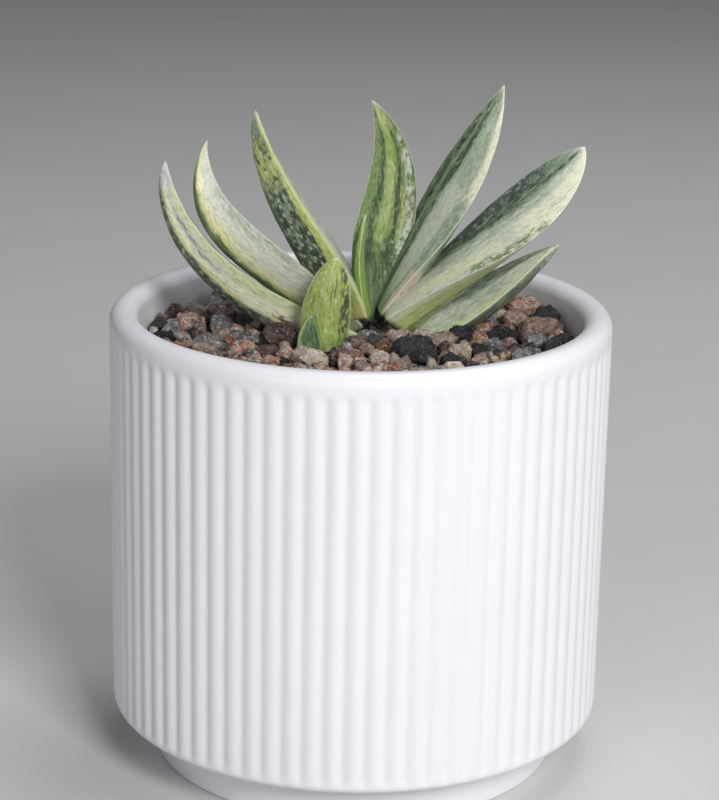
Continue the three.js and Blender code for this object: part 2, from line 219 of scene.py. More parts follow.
def makeLights():
    for light in lights:
        data = bpy.data.lights.new(light["name"], "AREA")
        data.size = light["size"]
        data.energy = light["power"]
        data.color = light["colour"]
        piece = bpy.data.objects.new(light["name"], data)
        piece.location = light["at"]
        aim = Vector((0, 0, studio["aimHeight"])) - Vector(light["at"])
        piece.rotation_euler = aim.to_track_quat("-Z", "Y").to_euler()
        collection.objects.link(piece)
    world = bpy.data.worlds.new("studio")
    world.use_nodes = True
    background = world.node_tree.nodes["Background"]
    background.inputs["Color"].default_value = studio["worldColour"]
    background.inputs["Strength"].default_value = studio["worldStrength"]
    bpy.context.scene.world = world
    bpy.context.scene.view_settings.view_transform = "Standard"


def makeFloor():
    form = bmesh.new()
    bmesh.ops.create_grid(form, x_segments=1, y_segments=1, size=studio["floorHalf"])
    material, tree, shader = newMaterial("paleFloor", 0.8)
    speck = grain(tree, objectPlace(tree), 0.02)
    colour = blend(tree, speck, studio["floorDark"], studio["floorLight"])
    feed(tree, shader.inputs["Base Color"], colour)
    mesh = bpy.data.meshes.new("floor")
    form.to_mesh(mesh)
    form.free()
    mesh.materials.append(material)
    piece = bpy.data.objects.new("floor", mesh)
    collection.objects.link(piece)


makeCamera()
makeLights()
makeFloor()
print("camera, lights and floor")


# Pot

pot = {
    "radius": 60.0, "height": 111.5, "wall": 6.8, "rimRound": 3.2,
    "footRadius": 50.4, "footTaper": 1.0, "footHeight": 11.8, "footRing": 5.5,
    "footRecess": 10.0, "lowerRound": 2.4, "baseThickness": 7.5,
    "ribs": 78, "ribDepth": 0.7, "ribTopClear": 4.0, "ribFade": 3.0, "stepsPerRib": 8,
}


def arcPoints(centreR, centreZ, radius, startDeg, endDeg, steps):
    angles = [math.radians(startDeg + (endDeg - startDeg) * k / steps) for k in range(steps + 1)]
    return [(centreR + radius * math.cos(a), centreZ + radius * math.sin(a)) for a in angles]


def potOutline():
    radius = pot["radius"]
    inner = radius - pot["wall"]
    foot = pot["footRadius"]
    footLow = foot - pot["footTaper"]
    ringInner = footLow - pot["footRing"]
    floorTop = pot["footRecess"] + pot["baseThickness"]
    low = pot["footHeight"] + pot["lowerRound"]
    top = pot["height"]
    outline = [(0, pot["footRecess"])]
    outline += arcPoints(ringInner - 2, pot["footRecess"] - 2, 2, 90, 0, 4)
    outline += arcPoints(ringInner + 0.8, 0.8, 0.8, 180, 270, 4)
    outline += arcPoints(footLow - 0.8, 0.8, 0.8, 270, 360, 4)
    outline += [(foot - 0.3, pot["footHeight"] - 4)]
    outline += arcPoints(foot + 0.7, pot["footHeight"] - 0.7, 0.7, 180, 90, 3)
    outline += arcPoints(radius - pot["lowerRound"], low, pot["lowerRound"], 270, 360, 6)
    outline += [(radius, low + pot["ribFade"] * k / 4) for k in range(1, 5)]
    ribTop = top - pot["ribTopClear"]
    bodyLow = low + pot["ribFade"]
    bodyHigh = ribTop - pot["ribFade"]
    outline += [(radius, bodyLow + (bodyHigh - bodyLow) * k / 6) for k in range(1, 6)]
    outline += [(radius, bodyHigh + pot["ribFade"] * k / 4) for k in range(5)]
    outline += arcPoints(radius - pot["rimRound"], top - pot["rimRound"], pot["rimRound"], 0, 90, 8)
    outline += arcPoints(inner + pot["rimRound"], top - pot["rimRound"], pot["rimRound"], 90, 180, 8)
    outline += [(inner, top - 15), (inner, top - 40), (inner, floorTop + 20)]
    outline += arcPoints(inner - 4, floorTop + 4, 4, 0, -90, 4)
    outline += [(0, floorTop)]
    return outline


def ribStrength(height):
    low = pot["footHeight"] + pot["lowerRound"] * 0.4
    ribTop = pot["height"] - pot["ribTopClear"]
    rising = min(1, max(0, (height - low) / pot["ribFade"]))
    falling = min(1, max(0, (ribTop - height) / pot["ribFade"]))
    share = min(rising, falling)
    return share * share * (3 - 2 * share)


ceramic = {
    "shadow": paint(0.905, 0.905, 0.93), "light": paint(0.925, 0.925, 0.945),
    "speck": paint(0.80, 0.80, 0.80), "speckShare": 0.25,
    "roughness": 0.31, "roughnessSpread": 0.12, "coat": 0.2, "coatRoughness": 0.22,
    "depth": 0.002, "depthShare": 0.05, "waveDepth": 0.00022, "fineDepth": 0.00004,
}


def ceramicMaterial():
    material, tree, shader = newMaterial("whiteCeramic", ceramic["roughness"])
    place = objectPlace(tree)
    cloud = grain(tree, place, 0.03, 3)
    speck = fade(tree, grain(tree, place, 1.6, 2, 0.5), 0.74, 0.8)
    colour = blend(tree, cloud, ceramic["shadow"], ceramic["light"])
    colour = blend(tree, calc(tree, "MULTIPLY", speck, ceramic["speckShare"]), colour, ceramic["speck"])
    feed(tree, shader.inputs["Base Color"], colour)
    glaze = grain(tree, place, 0.35, 4)
    rough = calc(tree, "MULTIPLY_ADD", glaze, ceramic["roughnessSpread"], ceramic["roughness"])
    feed(tree, shader.inputs["Roughness"], rough)
    shader.inputs["Coat Weight"].default_value = ceramic["coat"]
    shader.inputs["Coat Roughness"].default_value = ceramic["coatRoughness"]
    shader.inputs["Subsurface Weight"].default_value = ceramic["depthShare"]
    shader.inputs["Subsurface Radius"].default_value = (ceramic["depth"],) * 3
    waves = lift(tree, grain(tree, place, 0.16, 2), ceramic["waveDepth"], 0.6)
    fine = lift(tree, grain(tree, place, 2.2, 2), ceramic["fineDepth"], 0.35, waves)
    feed(tree, shader.inputs["Normal"], fine)
    return material


def makePot():
    form = bmesh.new()
    points = [form.verts.new((r * mm, 0, z * mm)) for r, z in potOutline()]
    edges = [form.edges.new((a, b)) for a, b in zip(points, points[1:])]
    steps = pot["ribs"] * pot["stepsPerRib"]
    bmesh.ops.spin(
        form, geom=points + edges, cent=(0, 0, 0), axis=(0, 0, 1),
        angle=math.tau, steps=steps, use_merge=True)
    bmesh.ops.remove_doubles(form, verts=form.verts[:], dist=1e-6)
    bmesh.ops.recalc_face_normals(form, faces=form.faces[:])
    for vert in form.verts:
        away = math.hypot(vert.co.x, vert.co.y) / mm
        if away < pot["radius"] - pot["lowerRound"] * 0.7:
            continue
        phase = pot["ribs"] * math.atan2(vert.co.y, vert.co.x) / 2
        crest = math.sqrt(math.sin(phase) ** 2 + 0.03) / math.sqrt(1.03)
        cut = pot["ribDepth"] * ribStrength(vert.co.z / mm) * (1 - crest)
        vert.co.x *= 1 - cut / away
        vert.co.y *= 1 - cut / away
    piece = finishPiece(form, "ribbed_pot", ceramicMaterial())
    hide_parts("pot")
    return piece


makePot()
print("pot")


# Leaves

# route: the four control points of the midline, from the crown to the tip
# row: +1 for the right row, -1 for the left; turn: how far the upper face turns from the front
# layers: (colour, face, across from and to, along from and to, softness, texture, strength)
# across runs from -1 at the far margin to 1 at the near one, along from 0 at the base to 1
# four numbers for across give the band at the base, then at the tip
cream = paint(0.92, 0.91, 0.80)
warmCream = paint(0.92, 0.89, 0.70)
paleGreen = paint(0.76, 0.82, 0.60)
greyWhite = paint(0.80, 0.82, 0.77)
greyGreen = paint(0.52, 0.60, 0.50)
deepGreen = paint(0.17, 0.26, 0.15)
midGreen = paint(0.36, 0.47, 0.22)
darkGrey = paint(0.22, 0.29, 0.24)
yellowGreen = paint(0.78, 0.83, 0.46)
yellow = paint(0.86, 0.82, 0.50)
lavender = paint(0.72, 0.71, 0.75)
pink = paint(0.84, 0.75, 0.72)
mucro = paint(0.46, 0.33, 0.30)
scar = paint(0.45, 0.28, 0.16)

leaves = {
    "leaf_left_outer": {
        "row": -1, "route": [(0, 5, 102.7), (-25.5, 0, 115.5), (-40.9, -4, 125.1), (-46.3, -4, 146.4)],
        "halfWidth": 5.6, "depth": 8.5, "turn": (107, 97), "baseShare": 0.83, "fullness": 4.3, "taper": 1.03,
        "camber": -0.1, "keel": 0.0, "slot": "cream_leaf",
        "base": cream, "upperBase": midGreen,
        "layers": [
            (paleGreen, "lower", (0.78, 1.1), (-0.1, 1.1), 0.08, "solid", 0.75),
            (warmCream, "lower", (0.1, 0.5), (-0.1, 0.8), 0.12, "solid", 0.6),
            # partly the leaf's own dark green keel band and partly painted shade: the lower-left flank,
            # turned down and away from the light, is painted dark grey and deep green
            (darkGrey, "lower", (-1.1, 0.42), (-0.1, 0.97), 0.08, "solid", 0.85),
            (deepGreen, "lower", (-1.1, 0.38), (-0.1, 0.93), 0.08, "mottle", 1.0),
            (greyWhite, "lower", (-1.1, 0.34), (0.3, 0.93), 0.08, "fleck", 0.5),
            (yellowGreen, "lower", (0.40, 0.52), (0.40, 0.9), 0.07, "streak", 0.7),
            (lavender, "lower", (0.66, 0.80), (0.50, 0.92), 0.08, "solid", 0.7),
            (darkGrey, "lower", (0.70, 0.76), (0.55, 0.86), 0.05, "streak", 0.7),
            (yellowGreen, "lower", (0.4, 0.6), (0.16, 0.34), 0.06, "streak", 0.6),
            # painted shade: the upper face, a channel turned away from the light and shadowed by
            # leaf_left_middle, is darkened with deep green streaks over its own mid green
            (deepGreen, "upper", (-1.1, 1.1), (-0.1, 0.8), 0.1, "streak", 0.8),
            (greyWhite, "upper", (-0.9, 0.9), (0.1, 0.9), 0.1, "mottle", 0.35),
            (lavender, "both", (-1.1, 1.1), (0.92, 1.1), 0.07, "solid", 0.8),
            (scar, "lower", (0.56, 0.68), (0.24, 0.29), 0.03, "mottle", 1.0),
        ],
    },
    "leaf_left_middle": {
        "row": -1, "route": [(0.9, 7.5, 105.5), (-17.6, 5, 127.3), (-41.3, 8, 125), (-37.6, 12, 148.5)],
        "halfWidth": 8.1, "depth": 9.2, "turn": (90, 149), "baseShare": 0.76, "fullness": 3.4, "taper": 1.34,
        "camber": -0.05, "keel": 0.0, "slot": "cream_leaf",
        "base": paint(0.90, 0.89, 0.81), "upperBase": midGreen,
        "layers": [
            (warmCream, "lower", (-1.1, 0.58), (-0.1, 1.1), 0.12, "solid", 0.8),
            (yellow, "lower", (-1.1, 0.40), (0.0, 1.0), 0.10, "solid", 0.7),
            # partly the leaf's own green band and partly painted shade: the lower-left flank, turned down and
            # away from the light, grows darker green towards its margin
            (paleGreen, "lower", (-1.1, 0.30), (-0.1, 1.0), 0.08, "solid", 0.85),
            (midGreen, "lower", (-1.1, 0.24), (-0.1, 0.94), 0.08, "solid", 0.9),
            (deepGreen, "lower", (-1.1, 0.16), (-0.1, 0.9), 0.08, "streak", 0.7),
            (midGreen, "lower", (-1.1, 1.1), (-0.1, 0.10), 0.10, "solid", 0.7),
            (greyWhite, "lower", (0.55, 1.1), (0.2, 0.95), 0.16, "solid", 0.7),
            (greyGreen, "lower", (0.84, 1.1), (0.1, 0.8), 0.08, "streak", 0.6),
            (pink, "lower", (0.3, 0.7), (0.2, 0.55), 0.12, "mottle", 0.3),
            (deepGreen, "upper", (-1.1, 1.1), (-0.1, 0.8), 0.1, "streak", 0.8),
            (greyWhite, "upper", (-0.9, 0.9), (0.1, 0.9), 0.1, "mottle", 0.4),
        ],
    },
    "leaf_left_inner": {
        "row": -1, "route": [(1.5, 5, 108.7), (-5.4, 1, 127.8), (-17.3, 0, 136.2), (-25.6, 2, 157.7)],
        "halfWidth": 6.3, "depth": 9.7, "turn": (88, 92), "baseShare": 0.84, "fullness": 3.5, "taper": 0.79,
        "camber": -0.05, "keel": 0.0, "slot": "mottled_leaf",
        "base": greyGreen, "upperBase": paint(0.74, 0.76, 0.70),
        "layers": [
            (deepGreen, "lower", (-1.1, 1.1), (-0.1, 0.93), 0.08, "mottle", 1.0),
            (greyWhite, "lower", (-1.1, 0.95), (0.05, 0.95), 0.10, "fleck", 0.8),
            (midGreen, "lower", (-1.1, 0.3), (-0.1, 0.9), 0.12, "streak", 0.5),
            (midGreen, "lower", (-1.1, 0.62), (-0.1, 0.14), 0.12, "streak", 0.6),
            (yellowGreen, "lower", (-0.2, 0.9), (0.72, 0.9), 0.10, "mottle", 0.7),
            (yellowGreen, "lower", (0.90, 1.1), (-0.1, 1.1), 0.05, "solid", 1.0),
            (yellowGreen, "upper", (0.58, 1.1), (-0.1, 1.1), 0.08, "solid", 1.0),
            (cream, "upper", (0.2, 0.62), (-0.1, 1.1), 0.12, "solid", 0.6),
            (greyGreen, "upper", (-1.1, 0.1), (0.1, 0.95), 0.2, "mottle", 0.6),
            (yellow, "both", (-1.1, 1.1), (-0.1, 0.09), 0.08, "solid", 0.85),
        ],
    },
    "leaf_centre": {
        "row": -1, "route": [(6, 11, 105.5), (-1, 14, 126), (14.4, 14, 137), (1.6, 11, 159.2)],
        "halfWidth": 7.6, "depth": 4.0, "turn": (10, -6), "baseShare": 0.68, "fullness": 3.2, "taper": 0.85,
        "camber": -0.15, "keel": 0.0, "slot": "green_leaf",
        "base": paint(0.42, 0.52, 0.30), "upperBase": paint(0.43, 0.53, 0.28),
        "layers": [
            (paint(0.60, 0.68, 0.32), "upper", (-0.25, 0.30), (0.3, 0.97), 0.12, "solid", 0.85),
            (greyWhite, "upper", (-0.12, 0.16), (0.35, 0.75), 0.10, "mottle", 0.35),
            (deepGreen, "upper", (0.30, 0.56), (0.22, 0.97), 0.08, "streak", 1.0),
            (deepGreen, "upper", (-0.46, -0.16), (0.22, 0.88), 0.08, "streak", 1.0),
            (yellowGreen, "upper", (-0.56, -0.40), (0.35, 0.62), 0.06, "streak", 0.7),
            (deepGreen, "upper", (0.78, 1.1), (-0.1, 0.35), 0.08, "solid", 0.7),
            (deepGreen, "upper", (-1.1, 1.1), (-0.1, 0.34), 0.12, "streak", 0.75),
            (greyWhite, "upper", (-0.90, -0.58), (0.12, 0.86), 0.08, "mottle", 0.9),
            (greyWhite, "upper", (-0.98, -0.30), (0.03, 0.42), 0.12, "fleck", 0.9),
            (deepGreen, "upper", (-1.1, -0.88), (0.3, 0.95), 0.06, "streak", 0.6),
            (paleGreen, "upper", (-0.8, 0.4), (0.90, 1.1), 0.08, "solid", 0.5),
        ],
    },
    "leaf_heart": {
        "row": -1, "route": [(2.2, 6, 107), (-0.5, 6, 116), (-0.4, 6, 124), (0.6, 6, 132.2)],
        "halfWidth": 3.2, "depth": 3.0, "turn": (80, 75), "baseShare": 0.8, "fullness": 2.3, "taper": 0.85,
        "camber": -0.1, "keel": 0.0, "slot": "green_leaf",
        # partly the young leaf's own green and partly painted light and shade: the lower flank, in the shadow
        # of leaf_left_inner, is painted deep green, and the near margin and upper face, lit from the upper
        # right, are painted bright green
        "base": paint(0.34, 0.45, 0.20), "upperBase": paint(0.56, 0.70, 0.28),
        "layers": [
            (deepGreen, "lower", (-1.1, 0.55), (-0.1, 0.9), 0.12, "solid", 0.75),
            (midGreen, "lower", (-1.1, 0.5), (0.1, 0.9), 0.12, "mottle", 0.6),
            (paint(0.60, 0.74, 0.30), "lower", (0.62, 1.1), (-0.1, 1.1), 0.08, "solid", 0.9),
        ],
    },
    "leaf_right_inner": {
        "row": 1, "route": [(3.9, 9, 107.6), (15, 9, 128.8), (25.7, 10, 142.3), (32.8, 10, 163.4)],
        "halfWidth": 8.2, "depth": 6.8, "turn": (84, 12), "baseShare": 0.56, "fullness": 2.9, "taper": 0.88,
        "camber": 0.05, "keel": 0.0, "slot": "grey_leaf",
        "base": paint(0.60, 0.66, 0.54), "upperBase": paint(0.66, 0.71, 0.62),
        "layers": [
            (greyGreen, "upper", (-1.1, -0.10), (-0.1, 0.97), 0.10, "solid", 1.0),
            (midGreen, "upper", (-1.1, -0.25), (-0.1, 0.95), 0.12, "streak", 0.6),
            (darkGrey, "upper", (-1.1, -0.90), (0.0, 0.9), 0.06, "streak", 0.8),
            (deepGreen, "upper", (-0.86, -0.62), (0.08, 0.95), 0.06, "streak", 1.0),
            (deepGreen, "upper", (-0.48, -0.24), (0.10, 0.94), 0.06, "streak", 1.0),
            (greyWhite, "upper", (-0.22, 0.55), (0.1, 0.60), 0.14, "solid", 0.75),
            (greyGreen, "upper", (0.0, 0.5), (0.55, 0.9), 0.14, "streak", 0.55),
            (greyGreen, "upper", (0.55, 1.1), (-0.1, 0.55), 0.12, "mottle", 0.9),
            (cream, "upper", (0.66, 1.1), (0.56, 1.1), 0.10, "solid", 0.85),
            (midGreen, "upper", (-0.2, 0.5), (0.88, 1.1), 0.05, "streak", 0.6),
            (greyWhite, "lower", (-1.1, 1.1), (-0.1, 0.6), 0.12, "mottle", 0.5),
            (darkGrey, "lower", (-1.1, 0.8), (-0.1, 0.7), 0.10, "streak", 0.6),
            (yellowGreen, "lower", (0.2, 0.6), (-0.1, 0.3), 0.10, "streak", 0.5),
            (pink, "both", (0.70, 1.1), (-0.1, 0.22), 0.06, "solid", 0.9),
        ],
    },
    "leaf_right_middle": {
        "row": 1, "route": [(5.5, 6, 108.1), (26.8, 3, 127.5), (39.1, 3, 131.4), (52, 4, 150.1)],
        "halfWidth": 9.1, "depth": 8.3, "turn": (91, 26), "baseShare": 0.71, "fullness": 4.4, "taper": 0.7,
        "camber": 0.08, "keel": 0.0, "slot": "grey_leaf",
        "base": paleGreen, "upperBase": paint(0.78, 0.81, 0.74),
        "layers": [
            (greyGreen, "upper", (-1.1, -0.10), (-0.1, 0.97), 0.12, "solid", 1.0),
            (darkGrey, "upper", (-1.1, -0.30), (-0.1, 0.80), 0.10, "streak", 1.0),
            (darkGrey, "upper", (-1.1, -0.55), (0.0, 0.86), 0.10, "mottle", 0.8),
            (lavender, "upper", (-1.1, -0.55), (0.1, 0.8), 0.10, "fleck", 0.6),
            (deepGreen, "upper", (-0.36, -0.20), (0.34, 0.97), 0.04, "streak", 1.0),
            (greyGreen, "upper", (-0.3, 0.2), (0.2, 0.8), 0.12, "mottle", 0.5),
            (cream, "upper", (0.25, 1.1), (0.60, 1.1), 0.14, "solid", 0.85),
            (midGreen, "upper", (0.78, 1.1), (0.32, 0.70), 0.07, "mottle", 0.9),
            (warmCream, "upper", (0.35, 0.8), (0.1, 0.5), 0.14, "solid", 0.5),
            (yellowGreen, "lower", (0.1, 0.9), (-0.1, 0.50), 0.12, "solid", 0.6),
            (midGreen, "lower", (0.1, 0.55), (-0.1, 0.6), 0.08, "streak", 0.95),
            (greyGreen, "lower", (-1.1, 0.3), (-0.1, 0.9), 0.12, "mottle", 0.8),
            (cream, "lower", (0.86, 1.1), (-0.1, 0.5), 0.05, "solid", 0.8),
        ],
    },
    "leaf_right_outer": {
        "row": 1, "route": [(9.9, 7, 103.3), (27.1, 7, 108.6), (36.3, 9, 120.2), (47.5, 12, 124.5)],
        "halfWidth": 6.5, "depth": 7.6, "turn": (57, 74), "baseShare": 0.92, "fullness": 3.2, "taper": 1.15,
        "camber": 0.0, "keel": 0.0, "slot": "grey_leaf",
        "base": paint(0.66, 0.71, 0.56), "upperBase": paint(0.76, 0.79, 0.71),
        "layers": [
            (greyGreen, "upper", (-1.1, -0.1), (0.3, 0.98), 0.16, "solid", 0.8),
            (darkGrey, "upper", (-1.1, -0.2), (0.2, 0.92), 0.14, "streak", 0.8),
            (greyGreen, "upper", (-0.3, 0.7), (0.0, 0.6), 0.14, "mottle", 0.4),
            (yellowGreen, "upper", (0.72, 0.94), (0.1, 0.9), 0.06, "streak", 0.7),
            (greyGreen, "lower", (-1.1, 1.1), (-0.1, 1.1), 0.12, "mottle", 1.0),
            (deepGreen, "lower", (-1.1, 0.9), (-0.1, 0.9), 0.12, "streak", 0.7),
            (mucro, "both", (-1.1, 1.1), (0.965, 1.1), 0.02, "solid", 0.9),
        ],
    },
    "offset_leaf_front": {
        "row": -1, "route": [(-7.9, -8, 103.2), (-9.5, -9, 109.6), (-7.4, -9, 117), (-6.1, -8, 124.9)],
        "halfWidth": 6.3, "depth": 3.5, "turn": (190, 190), "baseShare": 0.8, "fullness": 3.1, "taper": 0.58,
        "camber": -0.1, "keel": -0.2, "slot": "young_leaf",
        "base": paint(0.60, 0.68, 0.32), "upperBase": paint(0.5, 0.6, 0.3),
        "layers": [
            (paint(0.76, 0.81, 0.55), "lower", (-0.9, 0.5), (0.05, 0.9), 0.2, "fleck", 0.9),
            (paint(0.46, 0.56, 0.24), "lower", (-0.9, 0.6), (0.0, 0.9), 0.2, "mottle", 0.5),
            # partly the leaf's own dark green margin and partly painted shade: the flank turned away from the
            # light is painted deep green
            (deepGreen, "lower", (0.50, 0.88), (0.05, 0.93), 0.07, "mottle", 1.0),
            (deepGreen, "lower", (0.00, 0.05), (0.58, 0.80), 0.02, "solid", 0.9),
            (deepGreen, "lower", (0.18, 0.23), (0.62, 0.82), 0.02, "solid", 0.9),
            (midGreen, "lower", (-1.1, 1.1), (-0.1, 0.15), 0.1, "streak", 0.6),
        ],
    },
    "offset_leaf_small": {
        "row": -1, "slot": "young_leaf",
        "route": [(-11.8, -12.4, 102.2), (-12.4, -13.2, 106), (-12.4, -13.2, 109), (-11.6, -12.8, 111.9)],
        "halfWidth": 3.0, "depth": 2.0, "turn": (190, 190), "baseShare": 0.9, "fullness": 2.0, "taper": 0.7,
        "camber": -0.1, "keel": -0.2, "base": paint(0.28, 0.42, 0.20), "upperBase": midGreen,
        "layers": [
            (paint(0.68, 0.76, 0.50), "lower", (-1.1, -0.66), (-0.1, 1.1), 0.08, "solid", 0.8),
            (deepGreen, "lower", (-0.5, 1.1), (-0.1, 0.8), 0.1, "mottle", 0.7),
        ],
    },
}

leafForm = {
    "stations": 44, "ringPoints": 28, "keelSharpness": 1.6, "depthLoss": 0.15,
    "tipDepthPower": 0.7, "spineHalf": 0.22, "spineLength": 0.5,
    "wave": 0.16, "jag": 0.10, "edgeRound": 0.25, "crowding": 1.25,
}


def leafHalfWidth(leaf, share):
    swell = leaf["baseShare"] + (1 - leaf["baseShare"]) * math.sin(min(1, share / 0.5) * math.pi / 2)
    narrowing = (1 - share ** leaf["fullness"]) ** leaf["taper"]
    return max(leafForm["spineHalf"], leaf["halfWidth"] * swell * narrowing)


def leafDepth(leaf, share):
    narrowing = (1 - share ** leaf["fullness"]) ** leafForm["tipDepthPower"]
    return max(leafForm["spineHalf"], leaf["depth"] * (1 - leafForm["depthLoss"] * share) * narrowing)


def routePoint(route, share):
    a, b, c, d = (Vector(point) for point in route)
    rest = 1 - share
    return a * rest ** 3 + b * 3 * rest ** 2 * share + c * 3 * rest * share ** 2 + d * share ** 3


def routeDirection(route, share):
    a, b, c, d = (Vector(point) for point in route)
    rest = 1 - share
    return ((b - a) * rest ** 2 + (c - b) * 2 * rest * share + (d - c) * share ** 2).normalized()


def leafAxes(leaf, share):
    # the leaf's own directions: along it, across it and out of its upper face
    along = routeDirection(leaf["route"], share)
    front = Vector((0, -1, 0))
    front = (front - along * front.dot(along)).normalized()
    inward = front.cross(along) * leaf["row"]
    turn = math.radians(leaf["turn"][0] + (leaf["turn"][1] - leaf["turn"][0]) * share)
    upper = front * math.cos(turn) + inward * math.sin(turn)
    across = front * math.sin(turn) - inward * math.cos(turn)
    return along, across, upper


def sectionPoint(leaf, share, step):
    # across, height in millimetres and face (1 upper, -1 lower) of one point of the section
    angle = math.tau * step / leafForm["ringPoints"]
    s = math.cos(angle)
    half = leafHalfWidth(leaf, share)
    if step * 2 < leafForm["ringPoints"]:
        height = leaf["camber"] * half * (1 - s * s) + leafForm["edgeRound"] * math.sin(angle)
        return s, height, 1.0 if math.sin(angle) > 0.01 else 0.0
    keel = leaf["keel"]
    reach = 1 - keel if s > keel else 1 + keel
    q = min(1, abs(s - keel) / reach)
    height = -leafDepth(leaf, share) * (1 - q ** leafForm["keelSharpness"])
    return s, height - leafForm["edgeRound"] * abs(math.sin(angle)), -1.0 if math.sin(angle) < -0.01 else 0.0


def setLeafRing(leaf, ring, share, length, layers, seed):
    place, skin, edge = layers
    centre = routePoint(leaf["route"], share)
    along, across, upper = leafAxes(leaf, share)
    half = leafHalfWidth(leaf, share)
    for step, vert in enumerate(ring):
        s, height, face = sectionPoint(leaf, share, step)
        spot = Vector((s * half, share * length, height + seed))
        wave = noise.noise(spot * 0.22) * leafForm["wave"] * min(1, half / 3)
        jag = noise.noise(spot * 1.1) * leafForm["jag"] * abs(s) ** 6 * min(1, half / 2)
        point = centre + across * (s * (half + jag)) + upper * (height + wave)
        vert.co = point * mm
        vert[place] = (s, share, face)
        vert[skin] = spot
        vert[edge] = half * (1 - abs(s)) + 0.4 * abs(height) * (abs(s) < 0.98)


def leafMesh(leaf, seed):
    form = bmesh.new()
    layers = (
        form.verts.layers.float_vector.new("leafPlace"),
        form.verts.layers.float_vector.new("leafSkin"),
        form.verts.layers.float.new("leafEdge"),
    )
    count = leafForm["ringPoints"]
    ring = bmesh.ops.create_circle(form, cap_ends=True, segments=count, radius=mm)["verts"]
    edges = list(form.edges)
    stops = [routePoint(leaf["route"], k / 20) for k in range(21)]
    length = sum((after - before).length for before, after in zip(stops, stops[1:]))
    setLeafRing(leaf, ring, 0, length, layers, seed)
    for station in range(1, leafForm["stations"]):
        share = 1 - (1 - station / leafForm["stations"]) ** leafForm["crowding"]
        grown = bmesh.ops.extrude_edge_only(form, edges=edges)["geom"]
        fresh = {item for item in grown if isinstance(item, bmesh.types.BMVert)}
        edges = [item for item in grown if isinstance(item, bmesh.types.BMEdge)]
        ring = [next(e.other_vert(v) for e in v.link_edges if e.other_vert(v) in fresh) for v in ring]
        setLeafRing(leaf, ring, share, length, layers, seed)
    tip = routePoint(leaf["route"], 1) + routeDirection(leaf["route"], 1) * leafForm["spineLength"]
    bmesh.ops.pointmerge(form, verts=ring, merge_co=tip * mm)
    bmesh.ops.recalc_face_normals(form, faces=form.faces[:])
    return form


def leafTexture(tree, kind, skin, seed):
    if kind == "solid":
        return 1.0
    if kind == "streak":
        long = grain(tree, stretch(tree, skin, (1.3, 0.10, 0.4), (seed, 0, 0)), 1.0, 3, 0.6)
        broken = grain(tree, stretch(tree, skin, (0.8, 0.35, 0.5), (seed, 3, 0)), 1.0, 3, 0.6)
        return calc(tree, "MULTIPLY", fade(tree, long, 0.34, 0.50), fade(tree, broken, 0.30, 0.48))
    if kind == "mottle":
        patch = grain(tree, stretch(tree, skin, (0.9, 0.42, 0.7), (seed, 7, 0)), 1.0, 4, 0.65)
        return fade(tree, patch, 0.40, 0.54)
    dots = cells(tree, stretch(tree, skin, (0.8, 0.55, 0.8), (seed, 11, 0)), 0.95)
    return fade(tree, dots, 0.42, 0.12)


leafFinish = {
    "pale": paint(0.93, 0.95, 0.90), "paleShare": 0.16, "darkShare": 0.34,
    "edge": paint(0.84, 0.86, 0.78), "edgeShare": 0.5, "spine": paint(0.86, 0.80, 0.76), "spineShare": 0.8,
    "roughness": 0.30, "roughnessSpread": 0.22, "depth": (0.0016, 0.0022, 0.0008), "depthShare": 0.12,
    "gloss": 0.45, "ridgeDepth": 0.00035, "beadDepth": 0.00006, "fineDepth": 0.00008,
}


